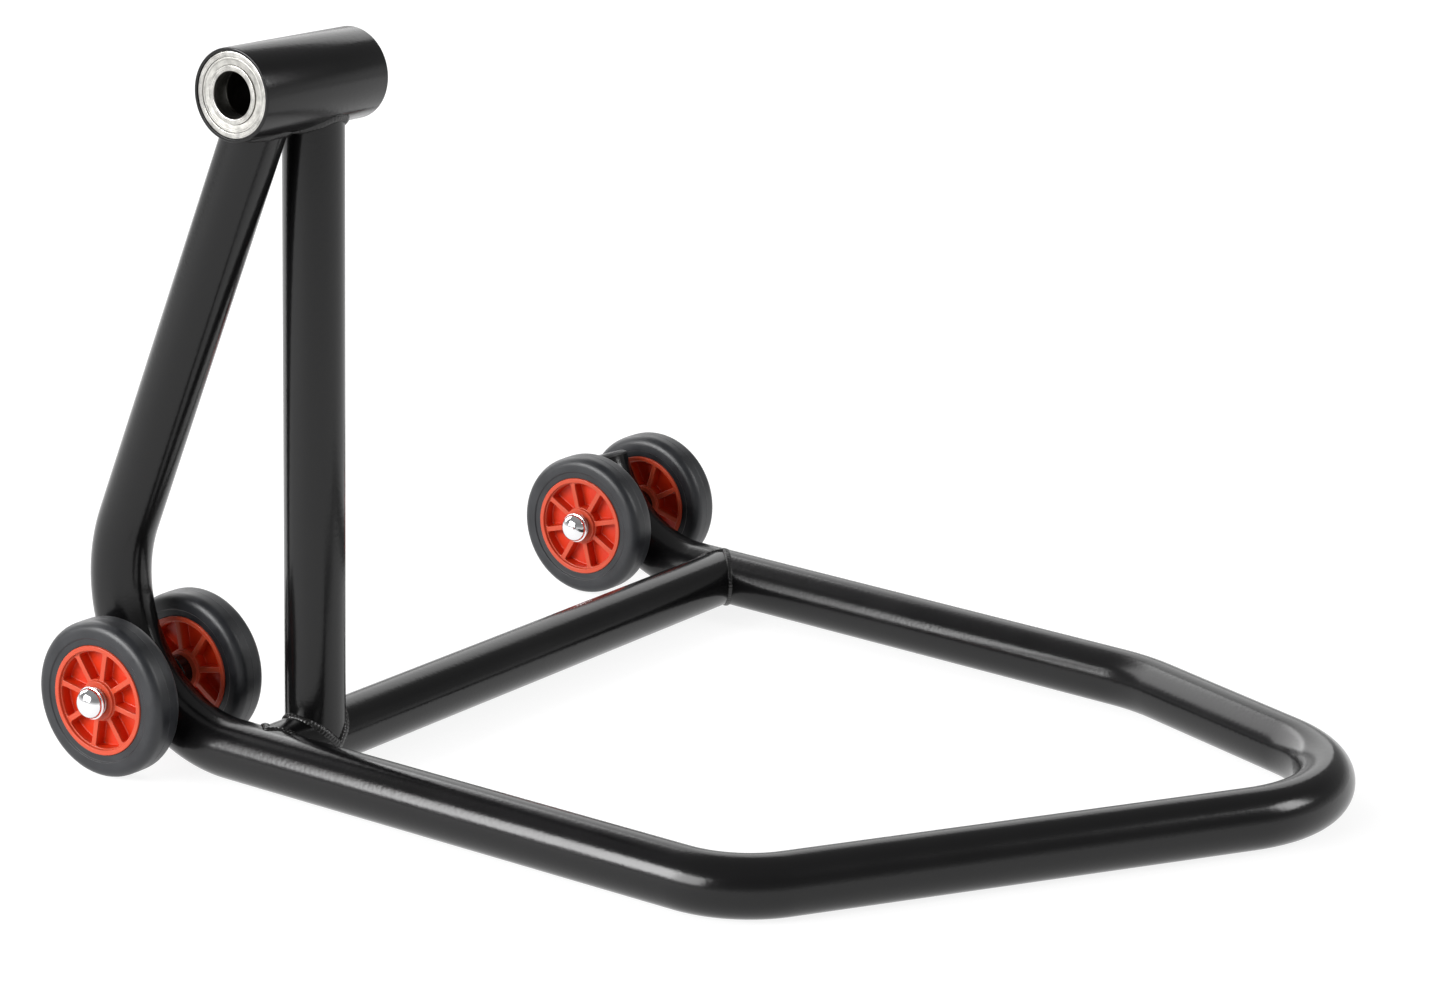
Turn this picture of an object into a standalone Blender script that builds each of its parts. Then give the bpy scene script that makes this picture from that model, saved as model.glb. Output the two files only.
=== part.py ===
"""Paddock stand for a motorcycle with a single-sided swingarm: a bent tube frame on four wheels.

Metres, +Z up. The origin is on the floor under the middle of the stand, the wheels' axle line is
at AXLE_X, and +X runs to the push bar. The bearing head that takes the lifting pin is on the -Y
side.
"""

import math

import bmesh
import bpy
from mathutils import Vector

MM = 0.001
GAP = 0.3 * MM  # clearance between touching pieces
FACET_GAP = 0.4 * MM  # the same between two faceted tubes, whose flats may face each other
EDGE = 0.8 * MM  # chamfer on turned edges
SHARP_ANGLE = math.radians(35)  # edges that turn more than this stay sharp
CUTTER_SIDES = 32
CUTTER_OVERRUN = 60 * MM  # how far a cutter runs past what it cuts

# Frame tube
TUBE_RADIUS = 19 * MM
TUBE_WALL = 2.5 * MM
TUBE_BORE = TUBE_RADIUS - TUBE_WALL
TUBE_SIDES = 20
BORE_SIDES = 12
BEND_STEP = math.radians(9)
BORE_BEND_STEP = math.radians(15)
BORE_OVERRUN = 20 * MM
HALF_TRACK = 254.5 * MM  # from the middle of the stand to the middle of a wheel pair
RAIL_RISE = 0.00575  # the rails climb this much per metre from the push bar to the wheels

AXLE_X = -307 * MM

# Corners of the bent tube in plan, where its straight runs would meet
PUSH_NEAR = Vector((AXLE_X + 450 * MM, -273 * MM, TUBE_RADIUS))
PUSH_FAR = Vector((AXLE_X + 689.5 * MM, 112 * MM, TUBE_RADIUS))
RAIL_KINK = Vector((AXLE_X + 452.5 * MM, 214.5 * MM, TUBE_RADIUS))
KNEE_RADIUS = 96 * MM
PUSH_NEAR_RADIUS = 60 * MM
PUSH_FAR_RADIUS = 95 * MM
RAIL_KINK_RADIUS = 120 * MM
STRUT_LEAN = math.radians(22.1)  # from the vertical, towards the push bar
STUB_TURN = math.radians(70)  # how far the far end turns up between its wheels
STUB_STRAIGHT = 1 * MM

# Bearing head
HEAD_X = AXLE_X + 98 * MM
HEAD_Z = 436.5 * MM
HEAD_Y = -232.5 * MM
HEAD_LENGTH = 112 * MM
HEAD_RADIUS = 28.1 * MM
HEAD_SHOULDER_BORE = 23.5 * MM
HEAD_STEPS = 32
POST_Y = -213.3 * MM

# Bearings, 28 x 52 x 12
BEARING_BORE = 14 * MM
BEARING_RADIUS = 26 * MM
BEARING_WIDTH = 12 * MM
BEARING_INSET = 0.6 * MM  # from the head's end to the bearing's face
INNER_LAND = 17.7 * MM
OUTER_LAND = 22.3 * MM
PITCH_RADIUS = 20 * MM
BALL_RADIUS = 3.4 * MM
BALL_COUNT = 8
GROOVE_STEPS = 4
CAGE_DEPTH = 2.2 * MM
CAGE_WIDTH = 3 * MM
SPACER_WALL = 2.7 * MM
SHIELD_THICKNESS = 0.8 * MM
SHIELD_INSET = 0.5 * MM
RACE_STEPS = 24

# Wheels
WHEEL_RADIUS = 50 * MM
WHEEL_WIDTH = 23 * MM
WHEEL_OFFSET = 39.5 * MM  # from the middle of the pair to the middle of a wheel
RIM_RADIUS = 35 * MM
RIM_INNER = 31.8 * MM
RIM_CROWN = 37.5 * MM  # the rim's crest, which holds the tyre on
HUB_BOSS = 12.5 * MM
WEB_THICKNESS = 4 * MM
SPOKE_WIDTH = 3.4 * MM
SPOKE_INSET = 2 * MM  # from the rim's face to a spoke's face
SPOKE_BARS = 4  # each one makes two spokes
SHOULDER = 6.5 * MM
SHOULDER_STEPS = 3
SIDEWALL_STEP = 0.8 * MM  # the sidewall drops this much next to the rim
STEP_RADIUS = 39 * MM
BUSH_RADIUS = 8 * MM
WHEEL_STEPS = 28

# Axles
AXLE_RADIUS = 6 * MM
SLEEVE_RADIUS = 11 * MM
WASHER_RADIUS = 9 * MM
WASHER_THICKNESS = 1.5 * MM
CAP_RADIUS = 10.5 * MM
CAP_HEIGHT = 10.5 * MM
CAP_NECK_RADIUS = 8.5 * MM
CAP_NECK = 2.6 * MM  # from the cap's seat to its flange
CAP_FLANGE = 1.3 * MM
CAP_CROWN = 2 * MM  # the cap's thickness over the axle's end
CAP_STEPS = 4
AXLE_END_GAP = 2.5 * MM  # from the axle's end to the top of its cap
SMALL_STEPS = 16

# End plug of the stub
PLUG_LENGTH = 8 * MM
PLUG_HEAD = 3 * MM
PLUG_STEM_RADIUS = 14.5 * MM
PLUG_EDGE = 1.2 * MM

WHEELS = (
    ("near_outer", -1, -1, 35),
    ("near_inner", -1, 1, 10),
    ("far_inner", 1, -1, 15),
    ("far_outer", 1, 1, 28),
)  # name, side of the stand, side of its pair, and how far it has rolled in degrees


def clear_scene():
    for old in list(bpy.data.objects):
        bpy.data.objects.remove(old, do_unlink=True)


def collection(name, hidden=False):
    made = bpy.data.collections.new(name)
    bpy.context.scene.collection.children.link(made)
    made.hide_render = hidden
    return made


def material(name, colour, roughness, metallic=0.0):
    made = bpy.data.materials.new(name)
    made.use_nodes = True
    shader = made.node_tree.nodes["Principled BSDF"]
    shader.inputs["Base Color"].default_value = (*colour, 1)
    shader.inputs["Roughness"].default_value = roughness
    shader.inputs["Metallic"].default_value = metallic
    made.diffuse_color = (*colour, 1)
    return made


clear_scene()
PARTS = collection("paddock_stand")
CUTTERS = collection("cutters", hidden=True)
BLACK_COAT = material("black_powder_coat", (0.012, 0.012, 0.013), 0.32)
BLACK_PLASTIC = material("black_plastic", (0.015, 0.015, 0.016), 0.5)
RUBBER = material("tyre_rubber", (0.022, 0.023, 0.025), 0.62)
RED_PLASTIC = material("red_plastic", (0.75, 0.055, 0.02), 0.35)
WHITE_NYLON = material("white_nylon", (0.72, 0.7, 0.66), 0.45)
BEARING_STEEL = material("bearing_steel", (0.62, 0.61, 0.58), 0.25, 1.0)
ZINC = material("zinc_plate", (0.7, 0.7, 0.7), 0.3, 1.0)
CHROME = material("chrome_cap", (0.8, 0.8, 0.81), 0.1, 1.0)


def new_object(name, mesh, surface, group):
    made = bpy.data.objects.new(name, mesh)
    group.objects.link(made)
    if surface:
        mesh.materials.clear()
        mesh.materials.append(surface)
    if group is CUTTERS:
        made.hide_render = True
        made.display_type = "WIRE"
    return made


def evaluated_mesh(source):
    """The object's mesh with its modifiers applied, and its loose caps welded on."""
    bpy.context.view_layer.update()
    graph = bpy.context.evaluated_depsgraph_get()
    mesh = bpy.data.meshes.new_from_object(source.evaluated_get(graph))
    welder = bmesh.new()
    welder.from_mesh(mesh)
    bmesh.ops.remove_doubles(welder, verts=welder.verts, dist=1e-6)
    bmesh.ops.recalc_face_normals(welder, faces=welder.faces)
    welder.to_mesh(mesh)
    welder.free()
    mesh.shade_smooth()
    mesh.set_sharp_from_angle(angle=SHARP_ANGLE)
    return mesh


def tube_along(name, points, radius, sides, surface, group):
    """A round bar along the points, closed at both ends."""
    curve = bpy.data.curves.new(name, "CURVE")
    curve.dimensions = "3D"
    curve.bevel_depth = radius
    curve.bevel_resolution = (sides - 4) // 2
    curve.use_fill_caps = True
    spline = curve.splines.new("POLY")
    spline.points.add(len(points) - 1)
    for place, point in zip(spline.points, points):
        place.co = (*point, 1)
    guide = bpy.data.objects.new(name + "_guide", curve)
    CUTTERS.objects.link(guide)
    mesh = evaluated_mesh(guide)
    bpy.data.objects.remove(guide)
    bpy.data.curves.remove(curve)
    return new_object(name, mesh, surface, group)


def turned(name, outline, steps, surface, group=PARTS, at=(0, 0, 0), along=(0, 1, 0)):
    """A solid turned from (radius, height) points, its own Z laid along the given direction.

    The points run down the outer side first. An outline that leaves the axis is a closed ring.
    """
    profile = bmesh.new()
    corners = [profile.verts.new((radius, 0, height)) for radius, height in outline]
    for first, second in zip(corners, corners[1:]):
        profile.edges.new((first, second))
    if outline[0][0] > 0:
        profile.edges.new((corners[-1], corners[0]))
    mesh = bpy.data.meshes.new(name)
    profile.to_mesh(mesh)
    profile.free()
    made = new_object(name, mesh, surface, group)
    screw = made.modifiers.new("Screw", "SCREW")
    screw.steps = steps
    screw.render_steps = steps
    screw.use_merge_vertices = True
    screw.merge_threshold = 1e-6
    screw.use_smooth_shade = True
    made.location = at
    made.rotation_mode = "QUATERNION"
    made.rotation_quaternion = Vector(along).to_track_quat("Z", "Y")
    return made


def boolean(target, operation, other):
    step = target.modifiers.new(operation.title(), "BOOLEAN")
    step.operation = operation
    step.solver = "EXACT"
    step.object = other


def cut(target, *others):
    for other in others:
        boolean(target, "DIFFERENCE", other)


def ring_outline(outer, inner, half):
    """A plain ring's outline."""
    return [(outer, half), (outer, -half), (inner, -half), (inner, half)]


def arc(centre, radius, start, end, count):
    """Points from the start angle to the end angle, both in degrees."""
    angles = [math.radians(start + (end - start) * i / count) for i in range(count + 1)]
    return [
        (centre[0] + radius * math.cos(angle), centre[1] + radius * math.sin(angle))
        for angle in angles
    ]


def rounded_path(corners, radii, step):
    """The corners joined by straight runs, with each inner corner rounded to its radius."""
    path = [corners[0]]
    for before, corner, after, radius in zip(corners, corners[1:], corners[2:], radii):
        back = (before - corner).normalized()
        ahead = (after - corner).normalized()
        half = back.angle(ahead) / 2
        centre = corner + (back + ahead).normalized() * radius / math.sin(half)
        start = corner + back * radius / math.tan(half)
        spoke = start - centre
        turn = math.pi - 2 * half
        sideways = -back
        count = math.ceil(turn / step)
        for i in range(count + 1):
            angle = turn * i / count
            path.append(centre + spoke * math.cos(angle) + sideways * radius * math.sin(angle))
    path.append(corners[-1])
    return path


def rail_height(x):
    return PUSH_NEAR.z + RAIL_RISE * (PUSH_NEAR.x - x)


def head_point(y):
    return Vector((HEAD_X, y, HEAD_Z))


def knee_corner():
    """Where the strut's line meets the near rail's line."""
    fall = (HEAD_Z - rail_height(AXLE_X)) * math.tan(STRUT_LEAN)
    x = HEAD_X - fall
    return Vector((x, -HALF_TRACK, rail_height(x)))


def stub_corner():
    """Where the far rail's line meets the stub's line, and the rail's direction there."""
    tangent = KNEE_RADIUS * math.tan(STUB_TURN / 2)
    arc_start = knee_corner().x + KNEE_RADIUS / math.tan((math.pi / 2 - STRUT_LEAN) / 2)
    x = arc_start - tangent
    return Vector((x, HALF_TRACK, rail_height(x)))


def stub_end():
    corner = stub_corner()
    back = (corner - RAIL_KINK).normalized()
    direction = back * math.cos(STUB_TURN) + Vector((0, 0, 1)) * math.sin(STUB_TURN)
    length = KNEE_RADIUS * math.tan(STUB_TURN / 2) + STUB_STRAIGHT
    return corner + direction * length, direction


def frame_corners(overrun):
    """The bent tube's corners, from the head round to the stub, running past both ends."""
    strut = Vector((math.sin(STRUT_LEAN), 0, math.cos(STRUT_LEAN)))
    end, direction = stub_end()
    return [
        head_point(-HALF_TRACK) + strut * overrun,
        knee_corner(),
        PUSH_NEAR,
        PUSH_FAR,
        RAIL_KINK,
        stub_corner(),
        end + direction * overrun,
    ]


def bent_bar(name, radius, sides, step, overrun, surface, group):
    bends = (
        KNEE_RADIUS,
        PUSH_NEAR_RADIUS,
        PUSH_FAR_RADIUS,
        RAIL_KINK_RADIUS,
        KNEE_RADIUS,
    )
    path = rounded_path(frame_corners(overrun), bends, step)
    return tube_along(name, path, radius, sides, surface, group)


def round_cutter(name, start, end, radius, sides=CUTTER_SIDES):
    return tube_along(name, [Vector(start), Vector(end)], radius, sides, None, CUTTERS)


def rail_point(corner, toward, x):
    """The point of a rail's centre line at this X."""
    return corner + (toward - corner) * (x - corner.x) / (toward.x - corner.x)


def frame_tubes():
    head_cutter = round_cutter(
        "head_cutter",
        head_point(HEAD_Y - HEAD_LENGTH),
        head_point(HEAD_Y + HEAD_LENGTH),
        HEAD_RADIUS + GAP,
        HEAD_STEPS,
    )
    near = rail_point(PUSH_NEAR, knee_corner(), HEAD_X)
    far = rail_point(RAIL_KINK, stub_corner(), HEAD_X)

    main = bent_bar("main_tube", TUBE_RADIUS, TUBE_SIDES, BEND_STEP, 0, BLACK_COAT, PARTS)
    main_bore = bent_bar(
        "main_bore", TUBE_BORE, BORE_SIDES, BORE_BEND_STEP, BORE_OVERRUN, None, CUTTERS
    )
    sleeve_holes = [
        round_cutter(
            f"sleeve_hole_{side}",
            (AXLE_X, side * HALF_TRACK - CUTTER_OVERRUN, WHEEL_RADIUS),
            (AXLE_X, side * HALF_TRACK + CUTTER_OVERRUN, WHEEL_RADIUS),
            SLEEVE_RADIUS + GAP,
        )
        for side in (-1, 1)
    ]
    cut(main, main_bore, head_cutter, *sleeve_holes)

    cross = tube_along("cross_tube", [near, far], TUBE_RADIUS, TUBE_SIDES, BLACK_COAT, PARTS)
    reach = (far - near).normalized() * BORE_OVERRUN
    cross_bore = round_cutter("cross_bore", near - reach, far + reach, TUBE_BORE, BORE_SIDES)
    rail_cutters = []
    for name, corner, toward in (
        ("near_rail_cutter", PUSH_NEAR, knee_corner()),
        ("far_rail_cutter", RAIL_KINK, stub_corner()),
    ):
        start = rail_point(corner, toward, HEAD_X - CUTTER_OVERRUN)
        end = rail_point(corner, toward, HEAD_X + CUTTER_OVERRUN)
        rail_cutters.append(round_cutter(name, start, end, TUBE_RADIUS + FACET_GAP))
    cut(cross, cross_bore, *rail_cutters)

    foot = near + (far - near) * (POST_Y - near.y) / (far.y - near.y)
    top = head_point(POST_Y)
    post = tube_along("upright_post", [foot, top], TUBE_RADIUS, TUBE_SIDES, BLACK_COAT, PARTS)
    rise = Vector((0, 0, BORE_OVERRUN))
    post_bore = round_cutter("post_bore", foot - rise, top + rise, TUBE_BORE, BORE_SIDES)
    saddle = round_cutter("saddle_cutter", near, far, TUBE_RADIUS + FACET_GAP)
    cut(post, post_bore, saddle, head_cutter)


def stub_plug():
    """The plastic plug that closes the stub's open end."""
    end, direction = stub_end()
    outline = [
        (0, PLUG_HEAD),
        (TUBE_RADIUS - PLUG_EDGE, PLUG_HEAD),
        (TUBE_RADIUS, PLUG_HEAD - PLUG_EDGE),
        (TUBE_RADIUS, GAP),
        (PLUG_STEM_RADIUS, GAP),
        (PLUG_STEM_RADIUS, -PLUG_LENGTH),
        (0, -PLUG_LENGTH),
    ]
    turned("stub_end_plug", outline, SMALL_STEPS, BLACK_PLASTIC, at=end, along=direction)


def head_housing():
    """The head's tube, with a seat for a bearing at each end and a shoulder behind each."""
    half = HEAD_LENGTH / 2
    seat = BEARING_RADIUS + GAP
    shoulder = half - BEARING_INSET - BEARING_WIDTH - GAP
    outline = [
        (HEAD_RADIUS - EDGE, half),
        (HEAD_RADIUS, half - EDGE),
        (HEAD_RADIUS, EDGE - half),
        (HEAD_RADIUS - EDGE, -half),
        (seat, -half),
        (seat, -shoulder),
        (HEAD_SHOULDER_BORE, -shoulder),
        (HEAD_SHOULDER_BORE, shoulder),
        (seat, shoulder),
        (seat, half),
    ]
    turned("head_housing", outline, HEAD_STEPS, BLACK_COAT, at=head_point(HEAD_Y))


def groove(land):
    """A race's ball groove between its two lands, in the order that its outline runs."""
    radius = BALL_RADIUS + GAP
    reach = math.degrees(math.acos(abs(land - PITCH_RADIUS) / radius))
    middle = 0 if land > PITCH_RADIUS else 180
    return arc((PITCH_RADIUS, 0), radius, middle - reach, middle + reach, GROOVE_STEPS)


def ball_set(name, centre):
    """A cage ring with its balls caught in it."""
    cage = turned(
        name,
        ring_outline(
            PITCH_RADIUS + CAGE_DEPTH / 2, PITCH_RADIUS - CAGE_DEPTH / 2, CAGE_WIDTH / 2
        ),
        RACE_STEPS,
        BEARING_STEEL,
        at=centre,
    )
    for i in range(BALL_COUNT):
        angle = 2 * math.pi * i / BALL_COUNT
        ball = bmesh.new()
        bmesh.ops.create_icosphere(ball, subdivisions=1, radius=BALL_RADIUS)
        mesh = bpy.data.meshes.new(f"{name}_ball_{i}")
        ball.to_mesh(mesh)
        ball.free()
        made = new_object(mesh.name, mesh, None, CUTTERS)
        offset = Vector((math.cos(angle), 0, math.sin(angle))) * PITCH_RADIUS
        made.location = Vector(centre) + offset
        boolean(cage, "UNION", made)


def bearing(label, centre):
    half = BEARING_WIDTH / 2
    outer = [
        (BEARING_RADIUS - EDGE, half),
        (BEARING_RADIUS, half - EDGE),
        (BEARING_RADIUS, EDGE - half),
        (BEARING_RADIUS - EDGE, -half),
        (OUTER_LAND, -half),
        *groove(OUTER_LAND),
        (OUTER_LAND, half),
    ]
    inner = [
        (INNER_LAND, half),
        *groove(INNER_LAND),
        (INNER_LAND, -half),
        (BEARING_BORE + EDGE, -half),
        (BEARING_BORE, EDGE - half),
        (BEARING_BORE, half - EDGE),
        (BEARING_BORE + EDGE, half),
    ]
    turned(f"{label}_outer_race", outer, RACE_STEPS, BEARING_STEEL, at=centre)
    turned(f"{label}_inner_race", inner, RACE_STEPS, BEARING_STEEL, at=centre)
    ball_set(f"{label}_ball_set", centre)
    for name, side in (("front", -1), ("back", 1)):
        offset = Vector((0, side * (half - SHIELD_INSET - SHIELD_THICKNESS / 2), 0))
        turned(
            f"{label}_{name}_shield",
            ring_outline(OUTER_LAND - GAP, INNER_LAND + GAP, SHIELD_THICKNESS / 2),
            RACE_STEPS,
            ZINC,
            at=Vector(centre) + offset,
        )


def head_bearings():
    reach = HEAD_LENGTH / 2 - BEARING_INSET - BEARING_WIDTH / 2
    for label, side in (("front_bearing", -1), ("back_bearing", 1)):
        bearing(label, head_point(HEAD_Y + side * reach))
    half = reach - BEARING_WIDTH / 2 - GAP
    turned(
        "race_spacer",
        ring_outline(BEARING_BORE + GAP + SPACER_WALL, BEARING_BORE + GAP, half),
        RACE_STEPS,
        ZINC,
        at=head_point(HEAD_Y),
    )


def tyre_outline():
    """The tyre's section: round shoulders, a low step in the sidewall, a crowned seat."""
    half = WHEEL_WIDTH / 2
    seat = RIM_RADIUS + GAP
    centre = WHEEL_RADIUS - SHOULDER
    upper = arc((centre, half - SHOULDER), SHOULDER, 90, 0, SHOULDER_STEPS)
    lower = arc((centre, SHOULDER - half), SHOULDER, 0, -90, SHOULDER_STEPS)
    return [
        (seat, half - SIDEWALL_STEP),
        (STEP_RADIUS, half - SIDEWALL_STEP),
        (STEP_RADIUS + SIDEWALL_STEP, half),
        *upper,
        *lower,
        (STEP_RADIUS + SIDEWALL_STEP, -half),
        (STEP_RADIUS, SIDEWALL_STEP - half),
        (seat, SIDEWALL_STEP - half),
        (RIM_CROWN + GAP, 0),
    ]


def hub_outline():
    """The hub's section without its spokes: rim, thin web and boss."""
    half = WHEEL_WIDTH / 2
    web = WEB_THICKNESS / 2
    bead = half - SIDEWALL_STEP
    bore = BUSH_RADIUS + GAP
    return [
        (RIM_INNER, half),
        (RIM_RADIUS, half),
        (RIM_RADIUS, bead),
        (RIM_CROWN, 0),
        (RIM_RADIUS, -bead),
        (RIM_RADIUS, -half),
        (RIM_INNER, -half),
        (RIM_INNER, -web),
        (HUB_BOSS, -web),
        (HUB_BOSS, -half),
        (bore, -half),
        (bore, half),
        (HUB_BOSS, half),
        (HUB_BOSS, web),
        (RIM_INNER, web),
    ]


def hub_mesh():
    """One hub, its spokes joined on and its bore cut clear of them."""
    pattern = turned("hub_pattern", hub_outline(), WHEEL_STEPS, None, CUTTERS, along=(0, 0, 1))
    reach = RIM_INNER + RIM_RADIUS
    for i in range(SPOKE_BARS):
        block = bmesh.new()
        bmesh.ops.create_cube(block, size=1)
        size = (reach, SPOKE_WIDTH, WHEEL_WIDTH - 2 * SPOKE_INSET)
        bmesh.ops.scale(block, vec=size, verts=block.verts)
        mesh = bpy.data.meshes.new(f"spoke_bar_{i}")
        block.to_mesh(mesh)
        block.free()
        bar = new_object(mesh.name, mesh, None, CUTTERS)
        bar.rotation_euler.z = math.pi * i / SPOKE_BARS
        boolean(pattern, "UNION", bar)
    height = Vector((0, 0, WHEEL_WIDTH))
    bore = round_cutter("hub_bore", -height, height, BUSH_RADIUS + GAP, SMALL_STEPS)
    cut(pattern, bore)
    mesh = evaluated_mesh(pattern)
    mesh.name = "hub"
    return mesh


def cap_outline():
    """A domed push-on cap on a short neck, hollow where it grips the axle's end."""
    base = CAP_NECK + CAP_FLANGE
    rise = CAP_HEIGHT - base
    dome = [(CAP_RADIUS * x, base + rise * z) for x, z in arc((0, 0), 1.0, 90, 0, CAP_STEPS)]
    dome[0] = (0, CAP_HEIGHT)
    socket = AXLE_RADIUS + GAP
    depth = CAP_HEIGHT - CAP_CROWN
    return [
        *dome,
        (CAP_RADIUS, CAP_NECK),
        (CAP_NECK_RADIUS, CAP_NECK),
        (CAP_NECK_RADIUS, 0),
        (socket, 0),
        (socket, depth),
        (0, depth),
    ]


def wheel(label, side, pair_side, rolled, hub):
    pair = Vector((AXLE_X, side * HALF_TRACK, WHEEL_RADIUS))
    outward = Vector((0, pair_side, 0))
    centre = pair + outward * WHEEL_OFFSET
    turned(f"{label}_tyre", tyre_outline(), WHEEL_STEPS, RUBBER, at=centre)
    hub_piece = new_object(f"{label}_hub", hub, None, PARTS)
    hub_piece.location = centre
    hub_piece.rotation_euler = (math.radians(-90), math.radians(-rolled), 0)
    turned(
        f"{label}_bush",
        ring_outline(BUSH_RADIUS, AXLE_RADIUS + GAP, WHEEL_WIDTH / 2),
        SMALL_STEPS,
        WHITE_NYLON,
        at=centre,
    )

    washer = ring_outline(WASHER_RADIUS, AXLE_RADIUS + GAP, WASHER_THICKNESS / 2)
    clear = WHEEL_WIDTH / 2 + GAP + WASHER_THICKNESS / 2
    turned(f"{label}_tube_washer", washer, SMALL_STEPS, ZINC, at=centre - outward * clear)
    turned(f"{label}_cap_washer", washer, SMALL_STEPS, ZINC, at=centre + outward * clear)
    seat = centre + outward * (clear + WASHER_THICKNESS / 2 + GAP)
    turned(f"{label}_cap", cap_outline(), SMALL_STEPS, CHROME, at=seat, along=outward)


def wheel_pairs():
    hub = hub_mesh()
    hub.materials.clear()
    hub.materials.append(RED_PLASTIC)
    for name, side, pair_side, rolled in WHEELS:
        wheel(f"wheel_{name}", side, pair_side, rolled, hub)
    wheel_end = WHEEL_OFFSET + WHEEL_WIDTH / 2
    wheel_start = WHEEL_OFFSET - WHEEL_WIDTH / 2
    sleeve_half = wheel_start - WASHER_THICKNESS - 2 * GAP
    axle_half = wheel_end + WASHER_THICKNESS + 2 * GAP + CAP_HEIGHT - AXLE_END_GAP
    for name, side in (("near", -1), ("far", 1)):
        middle = (AXLE_X, side * HALF_TRACK, WHEEL_RADIUS)
        sleeve = ring_outline(SLEEVE_RADIUS, AXLE_RADIUS + GAP, sleeve_half)
        turned(f"{name}_axle_sleeve", sleeve, SMALL_STEPS, BLACK_COAT, at=middle)
        axle = [
            (0, axle_half),
            (AXLE_RADIUS - EDGE, axle_half),
            (AXLE_RADIUS, axle_half - EDGE),
            (AXLE_RADIUS, EDGE - axle_half),
            (AXLE_RADIUS - EDGE, -axle_half),
            (0, -axle_half),
        ]
        turned(f"{name}_axle", axle, SMALL_STEPS, ZINC, at=middle)


frame_tubes()
stub_plug()
head_housing()
head_bearings()
wheel_pairs()
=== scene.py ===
"""Looks of the paddock stand: fine shapes and materials for its tubes, welds, wheels and bearings.

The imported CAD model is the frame, and every piece made here rides on one of its bodies. Metres, +Z up.
"""

import math

import bmesh
import bpy
from mathutils import Matrix, Vector

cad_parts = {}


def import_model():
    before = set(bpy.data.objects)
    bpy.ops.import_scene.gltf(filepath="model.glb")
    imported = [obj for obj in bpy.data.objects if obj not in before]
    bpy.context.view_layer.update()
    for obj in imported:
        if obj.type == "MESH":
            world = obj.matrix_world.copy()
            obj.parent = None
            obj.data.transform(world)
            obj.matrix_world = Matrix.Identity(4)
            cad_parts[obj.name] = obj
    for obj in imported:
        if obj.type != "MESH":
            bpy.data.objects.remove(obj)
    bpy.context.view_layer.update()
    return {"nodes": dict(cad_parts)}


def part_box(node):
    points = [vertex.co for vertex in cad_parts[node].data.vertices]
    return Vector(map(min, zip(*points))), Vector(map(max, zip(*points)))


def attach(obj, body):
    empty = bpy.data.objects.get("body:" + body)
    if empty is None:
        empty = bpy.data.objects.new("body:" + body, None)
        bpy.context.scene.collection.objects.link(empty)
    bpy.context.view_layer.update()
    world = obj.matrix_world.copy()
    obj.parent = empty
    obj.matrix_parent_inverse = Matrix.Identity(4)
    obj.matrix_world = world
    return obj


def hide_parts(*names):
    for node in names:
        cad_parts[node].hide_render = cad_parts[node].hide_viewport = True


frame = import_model()
MM = 0.001


def middle_of(node):
    low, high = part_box(node)
    return (Vector(low) + Vector(high)) / 2


AXLE = Vector((middle_of("near_axle").x, 0, 0))  # under the axles, on the stand's middle line

# Frame tube, as in the CAD
TUBE_RADIUS = 19 * MM
TUBE_SIDES = 48
TUBE_END_RUN = 60 * MM  # how far short of a joint a tube's path stops, to be carried on to it
BEND_STEP = math.radians(2.5)
HALF_TRACK = 254.5 * MM
RAIL_RISE = 0.00575  # how much the rails rise towards the axles, for each metre of their run
PUSH_NEAR = AXLE + Vector((450, -273, 19)) * MM
PUSH_FAR = AXLE + Vector((689.5, 112, 19)) * MM
RAIL_KINK = AXLE + Vector((452.5, 214.5, 19)) * MM
KNEE_RADIUS = 96 * MM
BENDS = (KNEE_RADIUS, 60 * MM, 95 * MM, 120 * MM, KNEE_RADIUS)  # from the strut's knee to the stub
STRUT_LEAN = math.radians(22.1)
KNEE_TANGENT = KNEE_RADIUS / math.tan((math.pi / 2 - STRUT_LEAN) / 2)
STUB_TURN = math.radians(70)
STUB_STRAIGHT = 1 * MM

# Bearing head
HEAD = AXLE + Vector((98, -232.5, 436.5)) * MM
HEAD_LENGTH = 112 * MM
HEAD_RADIUS = 28.1 * MM
HEAD_SEAT = 26.05 * MM  # the head's inside radius at the bearings, and between them
HEAD_SHOULDER = 23.5 * MM
POST_Y = -213.3 * MM
BEARING_WIDTH = 12 * MM
BEARING_RADIUS = 26 * MM
BEARING_BORE = 14 * MM
BEARING_INSET = 0.6 * MM
OUTER_LAND = 22.5 * MM  # the rings' radii beside the balls
INNER_LAND = 17.5 * MM
GROOVE_DEPTH = 1.1 * MM  # the balls' groove in each ring
GROOVE_REACH = 2.9 * MM
GROOVE_RADIUS = 2.5 * MM
SHIELD_INSET = 0.9 * MM
SPACER_RADIUS = 17 * MM
SPACER_BORE = 14.25 * MM

# Welds, as the radius of each bead
HEAD_WELD = 3.1 * MM
POST_FOOT_WELD = 2.8 * MM
NEAR_CROSS_WELD = 2.4 * MM
FAR_CROSS_WELD = 2.2 * MM
SLEEVE_WELD = 2.0 * MM
WELD_HEIGHT = 0.7  # how high and how wide a bead is for its radius
WELD_SPREAD = 1.12
WELD_STEP = 0.4 * MM  # between a bead's cross sections
RIPPLE_PITCH = 2.3 * MM
RIPPLE_DEPTH = 0.18  # how deep a ripple is for the bead's radius, and how far its middle runs ahead
RIPPLE_BOW = 0.45
DRESSED_HEIGHT = 0.5 * MM  # welds are ground off below this, so that they clear the floor

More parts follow.
